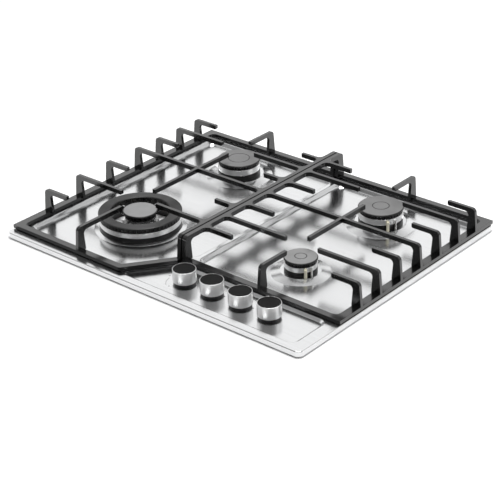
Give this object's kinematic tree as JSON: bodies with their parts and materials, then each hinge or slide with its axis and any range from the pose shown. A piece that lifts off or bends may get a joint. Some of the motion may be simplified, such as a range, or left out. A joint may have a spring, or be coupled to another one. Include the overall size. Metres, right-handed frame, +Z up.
{
  "type": "gas cooktop",
  "caption": "Built-in gas cooktop: pressed steel plate, burners with lift-off caps, two cast-iron pan grates, row of round knobs at the front, shallow box below.",
  "frame": {"origin": "middle of the worktop cut-out, at the level of the worktop's top face", "axes": "+X to the right as the cook sees it, +Y to the back, +Z up"},
  "size_m": [0.6, 0.498, 0.11],
  "materials": {
    "plate_steel": "brushed stainless steel",
    "seal_foam": "closed-cell foam",
    "box_steel": "galvanised sheet",
    "zinc_steel": "zinc plated",
    "grate_iron": "matt black enamel",
    "foot_rubber": "matt",
    "igniter_ceramic": "glazed",
    "lead_silicone": "smooth",
    "sensor_copper": "drawn copper",
    "module_plastic": "moulded",
    "black_plastic": "moulded",
    "valve_brass": "cast and machined",
    "rail_steel": "zinc plated tube",
    "fitting_brass": "turned",
    "pipe_aluminium": "drawn tube",
    "terminal_plastic": "moulded",
    "enamel_base": "black enamel",
    "burner_aluminium": "machined casting",
    "enamel_cap": "grey-black enamel",
    "enamel_ring_cap": "black enamel",
    "knob_aluminium": "brushed and anodised",
    "knob_black": "satin",
    "spring_steel": "drawn wire"
  },
  "bodies": {
    "hob": {"top_plate": "plate_steel", "rim_seal": "seal_foam", "under_box": "box_steel", "plate_nuts": "zinc_steel", "fixing_clamps": "zinc_steel", "clamp_screws": "zinc_steel", "burner_bases": "enamel_base", "igniters": "igniter_ceramic", "igniter_leads": "lead_silicone", "flame_sensors": "sensor_copper", "spark_module": "module_plastic", "knob_rings": "black_plastic", "gas_valves": "valve_brass", "valve_bracket": "zinc_steel", "gas_rail": "rail_steel", "gas_inlet": "fitting_brass", "burner_pipes": "pipe_aluminium", "injectors": "fitting_brass", "terminal_block": "terminal_plastic", "cable_gland": "black_plastic", "wok_base": "enamel_base", "valve_spring_1": "spring_steel", "valve_spring_2": "spring_steel", "valve_spring_3": "spring_steel", "valve_spring_4": "spring_steel"},
    "left_grate": {"grate_left_frame": "grate_iron", "grate_left_fingers": "grate_iron", "grate_left_rail": "grate_iron", "grate_left_feet": "foot_rubber"},
    "right_grate": {"grate_right_frame": "grate_iron", "grate_right_fingers": "grate_iron", "grate_right_rail": "grate_iron", "grate_right_feet": "foot_rubber"},
    "rear_left_head": {"rear_left_head": "burner_aluminium"},
    "rear_left_cap": {"rear_left_cap": "enamel_cap"},
    "rear_right_head": {"rear_right_head": "burner_aluminium"},
    "rear_right_cap": {"rear_right_cap": "enamel_cap"},
    "front_right_head": {"front_right_head": "burner_aluminium"},
    "front_right_cap": {"front_right_cap": "enamel_cap"},
    "wok_outer_head": {"wok_outer_head": "burner_aluminium", "wok_bridges": "burner_aluminium"},
    "wok_ring_cap": {"wok_ring_cap": "enamel_ring_cap"},
    "wok_inner_head": {"wok_inner_head": "burner_aluminium"},
    "wok_inner_cap": {"wok_inner_cap": "enamel_cap"},
    "plunger_1": {"plunger_1": "fitting_brass"},
    "knob_1": {"knob_1": "knob_aluminium", "knob_top_1": "knob_black", "spindle_1": "fitting_brass"},
    "plunger_2": {"plunger_2": "fitting_brass"},
    "knob_2": {"knob_2": "knob_aluminium", "knob_top_2": "knob_black", "spindle_2": "fitting_brass"},
    "plunger_3": {"plunger_3": "fitting_brass"},
    "knob_3": {"knob_3": "knob_aluminium", "knob_top_3": "knob_black", "spindle_3": "fitting_brass"},
    "plunger_4": {"plunger_4": "fitting_brass"},
    "knob_4": {"knob_4": "knob_aluminium", "knob_top_4": "knob_black", "spindle_4": "fitting_brass"}
  },
  "joints": [
    {"name": "left_grate_lift", "type": "slide", "parent": "hob", "child": "left_grate", "axis": [0, 0, 1], "range_m": [0, 0.1]},
    {"name": "right_grate_lift", "type": "slide", "parent": "hob", "child": "right_grate", "axis": [0, 0, 1], "range_m": [0, 0.1]},
    {"name": "rear_left_head_lift", "type": "slide", "parent": "hob", "child": "rear_left_head", "axis": [0, 0, 1], "range_m": [0, 0.005]},
    {"name": "rear_left_cap_lift", "type": "slide", "parent": "rear_left_head", "child": "rear_left_cap", "axis": [0, 0, 1], "range_m": [0, 0.006]},
    {"name": "rear_right_head_lift", "type": "slide", "parent": "hob", "child": "rear_right_head", "axis": [0, 0, 1], "range_m": [0, 0.005]},
    {"name": "rear_right_cap_lift", "type": "slide", "parent": "rear_right_head", "child": "rear_right_cap", "axis": [0, 0, 1], "range_m": [0, 0.006]},
    {"name": "front_right_head_lift", "type": "slide", "parent": "hob", "child": "front_right_head", "axis": [0, 0, 1], "range_m": [0, 0.005]},
    {"name": "front_right_cap_lift", "type": "slide", "parent": "front_right_head", "child": "front_right_cap", "axis": [0, 0, 1], "range_m": [0, 0.006]},
    {"name": "wok_outer_head_lift", "type": "slide", "parent": "hob", "child": "wok_outer_head", "axis": [0, 0, 1], "range_m": [0, 0.005]},
    {"name": "wok_ring_cap_lift", "type": "slide", "parent": "wok_outer_head", "child": "wok_ring_cap", "axis": [0, 0, 1], "range_m": [0, 0.005]},
    {"name": "wok_inner_head_lift", "type": "slide", "parent": "wok_outer_head", "child": "wok_inner_head", "axis": [0, 0, 1], "range_m": [0, 0.004]},
    {"name": "wok_inner_cap_lift", "type": "slide", "parent": "wok_inner_head", "child": "wok_inner_cap", "axis": [0, 0, 1], "range_m": [0, 0.004]},
    {"name": "knob_1_press", "type": "slide", "parent": "hob", "child": "plunger_1", "axis": [0, 0, -1], "range_m": [0, 0.004], "stiffness_N_per_m": 1500, "springref_m": -0.002, "deforming": ["valve_spring_1"]},
    {"name": "knob_1_turn", "type": "hinge", "parent": "plunger_1", "child": "knob_1", "pos_m": [0.035, -0.1925, 0.02], "axis": [0, 0, 1], "range_deg": [0, 210]},
    {"name": "knob_2_press", "type": "slide", "parent": "hob", "child": "plunger_2", "axis": [0, 0, -1], "range_m": [0, 0.004], "stiffness_N_per_m": 1500, "springref_m": -0.002, "deforming": ["valve_spring_2"]},
    {"name": "knob_2_turn", "type": "hinge", "parent": "plunger_2", "child": "knob_2", "pos_m": [0.09, -0.1925, 0.02], "axis": [0, 0, 1], "range_deg": [0, 210]},
    {"name": "knob_3_press", "type": "slide", "parent": "hob", "child": "plunger_3", "axis": [0, 0, -1], "range_m": [0, 0.004], "stiffness_N_per_m": 1500, "springref_m": -0.002, "deforming": ["valve_spring_3"]},
    {"name": "knob_3_turn", "type": "hinge", "parent": "plunger_3", "child": "knob_3", "pos_m": [0.145, -0.1925, 0.02], "axis": [0, 0, 1], "range_deg": [0, 210]},
    {"name": "knob_4_press", "type": "slide", "parent": "hob", "child": "plunger_4", "axis": [0, 0, -1], "range_m": [0, 0.004], "stiffness_N_per_m": 1500, "springref_m": -0.002, "deforming": ["valve_spring_4"]},
    {"name": "knob_4_turn", "type": "hinge", "parent": "plunger_4", "child": "knob_4", "pos_m": [0.2, -0.1925, 0.02], "axis": [0, 0, 1], "range_deg": [0, 210]}
  ]
}
